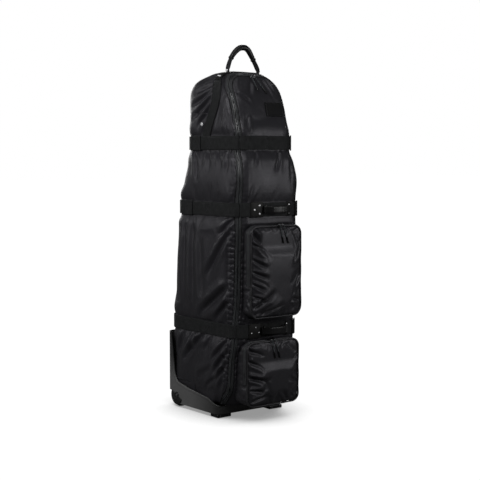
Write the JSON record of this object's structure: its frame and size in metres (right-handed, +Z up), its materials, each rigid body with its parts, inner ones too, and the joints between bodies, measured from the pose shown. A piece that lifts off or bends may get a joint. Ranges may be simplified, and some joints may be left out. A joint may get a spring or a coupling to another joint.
{
  "type": "golf travel case",
  "caption": "Tall wheeled soft case for a golf bag: zipped front flap with two pockets, buckled straps, haul handles and a moulded boot.",
  "frame": {"origin": "on the floor, under the middle of the case's width and depth", "axes": "+Z up; the pockets face -Y and the wheels are at +Y; +X is the right-hand side seen from the front"},
  "size_m": [0.327, 0.4798, 1.3476],
  "materials": {
    "body_fabric": "black ballistic nylon, soft sheen",
    "pocket_fabric": "black ballistic nylon, soft sheen",
    "webbing": "black woven nylon webbing, dull",
    "zip_tape": "black coil zip tape",
    "foam": "closed-cell foam covered in nylon",
    "pull_cord": "black braided cord with a moulded end",
    "boot_plastic": "dark grey moulded plastic, satin",
    "board_plastic": "black plastic sheet",
    "hub_plastic": "black moulded plastic",
    "buckle_plastic": "black acetal",
    "plate_plastic": "black moulded plastic with bright rivets",
    "foot_rubber": "black rubber",
    "grip_rubber": "soft black rubber",
    "patch_rubber": "blank moulded rubber patch",
    "tyre_rubber": "black rubber tyre",
    "axle_steel": "zinc-plated steel pin",
    "slider_metal": "black painted zinc"
  },
  "bodies": {
    "root": {"base_boot": "boot_plastic", "foot_left": "foot_rubber", "foot_right": "foot_rubber", "axle_left": "axle_steel", "axle_right": "axle_steel", "back_board": "board_plastic", "bottom_panel": "body_fabric", "side_panel_left": "body_fabric", "side_panel_right": "body_fabric", "back_panel": "body_fabric", "top_panel": "body_fabric", "top_padding": "foam", "strap_rear_upper": "webbing", "strap_rear_mid": "webbing", "strap_rear_lower": "webbing", "side_webbing_left": "webbing", "side_webbing_right": "webbing", "handle_plate_left": "plate_plastic", "handle_plate_right": "plate_plastic", "main_zip": "zip_tape", "buckle_female_upper": "buckle_plastic", "buckle_female_mid": "buckle_plastic", "buckle_female_lower": "buckle_plastic"},
    "front_flap": {"front_panel": "body_fabric", "upper_pocket": "pocket_fabric", "lower_pocket": "pocket_fabric", "upper_pocket_zip": "zip_tape", "lower_pocket_zip": "zip_tape", "strap_front_upper": "webbing", "strap_front_mid": "webbing", "strap_front_lower": "webbing", "buckle_male_upper": "buckle_plastic", "buckle_male_mid": "buckle_plastic", "buckle_male_lower": "buckle_plastic", "mid_plate_left": "plate_plastic", "mid_plate_right": "plate_plastic", "lower_plate_left": "plate_plastic", "lower_plate_right": "plate_plastic", "front_patch": "patch_rubber"},
    "top_handle": {"top_handle_grip": "grip_rubber", "top_handle_leg_left": "webbing", "top_handle_leg_right": "webbing"},
    "mid_handle": {"mid_handle": "grip_rubber"},
    "lower_handle": {"lower_handle": "grip_rubber"},
    "wheel_left": {"tyre_left": "tyre_rubber", "hub_left": "hub_plastic"},
    "wheel_right": {"tyre_right": "tyre_rubber", "hub_right": "hub_plastic"},
    "main_left_slider": {"main_left_slider": "slider_metal"},
    "main_left_pull": {"main_left_pull": "pull_cord"},
    "main_right_slider": {"main_right_slider": "slider_metal"},
    "main_right_pull": {"main_right_pull": "pull_cord"},
    "upper_left_slider": {"upper_left_slider": "slider_metal"},
    "upper_left_pull": {"upper_left_pull": "pull_cord"},
    "upper_right_slider": {"upper_right_slider": "slider_metal"},
    "upper_right_pull": {"upper_right_pull": "pull_cord"},
    "lower_left_slider": {"lower_left_slider": "slider_metal"},
    "lower_left_pull": {"lower_left_pull": "pull_cord"},
    "lower_right_slider": {"lower_right_slider": "slider_metal"},
    "lower_right_pull": {"lower_right_pull": "pull_cord"}
  },
  "joints": [
    {"name": "flap_hinge", "type": "hinge", "parent": "root", "child": "front_flap", "pos_m": [0, -0.12, 0.05], "axis": [1, 0, 0], "range_deg": [0, 75]},
    {"name": "top_handle_swing", "type": "hinge", "parent": "root", "child": "top_handle", "pos_m": [0, -0.032, 1.2508], "axis": [1, 0, 0], "range_deg": [-60, 60]},
    {"name": "mid_handle_swing", "type": "hinge", "parent": "front_flap", "child": "mid_handle", "pos_m": [0.019, -0.2096, 0.757], "axis": [1, 0, 0], "range_deg": [-35, 35]},
    {"name": "lower_handle_swing", "type": "hinge", "parent": "front_flap", "child": "lower_handle", "pos_m": [0.019, -0.1986, 0.325], "axis": [1, 0, 0], "range_deg": [-35, 35]},
    {"name": "wheel_left_spin", "type": "hinge", "parent": "root", "child": "wheel_left", "pos_m": [-0.1423, 0.17, 0.043], "axis": [1, 0, 0], "continuous": true},
    {"name": "wheel_right_spin", "type": "hinge", "parent": "root", "child": "wheel_right", "pos_m": [0.1423, 0.17, 0.043], "axis": [1, 0, 0], "continuous": true},
    {"name": "main_left_slide", "type": "slide", "parent": "front_flap", "child": "main_left_slider", "axis": [1, 0, 0], "range_m": [-0.04, 0]},
    {"name": "main_left_pull_swing", "type": "hinge", "parent": "main_left_slider", "child": "main_left_pull", "pos_m": [-0.0095, -0.09868, 1.227], "axis": [1, 0, 0], "range_deg": [-80, 0]},
    {"name": "main_right_slide", "type": "slide", "parent": "front_flap", "child": "main_right_slider", "axis": [1, 0, 0], "range_m": [0, 0.04]},
    {"name": "main_right_pull_swing", "type": "hinge", "parent": "main_right_slider", "child": "main_right_pull", "pos_m": [0.0055, -0.09868, 1.227], "axis": [1, 0, 0], "range_deg": [-80, 0]},
    {"name": "upper_left_slide", "type": "slide", "parent": "front_flap", "child": "upper_left_slider", "axis": [1, 0, 0], "range_m": [-0.075, 0]},
    {"name": "upper_left_pull_swing", "type": "hinge", "parent": "upper_left_slider", "child": "upper_left_pull", "pos_m": [0.0105, -0.2405, 0.7049], "axis": [1, 0, 0], "range_deg": [-80, 0]},
    {"name": "upper_right_slide", "type": "slide", "parent": "front_flap", "child": "upper_right_slider", "axis": [1, 0, 0], "range_m": [0, 0.05]},
    {"name": "upper_right_pull_swing", "type": "hinge", "parent": "upper_right_slider", "child": "upper_right_pull", "pos_m": [0.0255, -0.2405, 0.7049], "axis": [1, 0, 0], "range_deg": [-80, 0]},
    {"name": "lower_left_slide", "type": "slide", "parent": "front_flap", "child": "lower_left_slider", "axis": [1, 0, 0], "range_m": [-0.075, 0]},
    {"name": "lower_left_pull_swing", "type": "hinge", "parent": "lower_left_slider", "child": "lower_left_pull", "pos_m": [-0.0105, -0.224, 0.2929], "axis": [1, 0, 0], "range_deg": [-80, 0]},
    {"name": "lower_right_slide", "type": "slide", "parent": "front_flap", "child": "lower_right_slider", "axis": [1, 0, 0], "range_m": [0, 0.065]},
    {"name": "lower_right_pull_swing", "type": "hinge", "parent": "lower_right_slider", "child": "lower_right_pull", "pos_m": [0.0045, -0.224, 0.2929], "axis": [1, 0, 0], "range_deg": [-80, 0]}
  ]
}
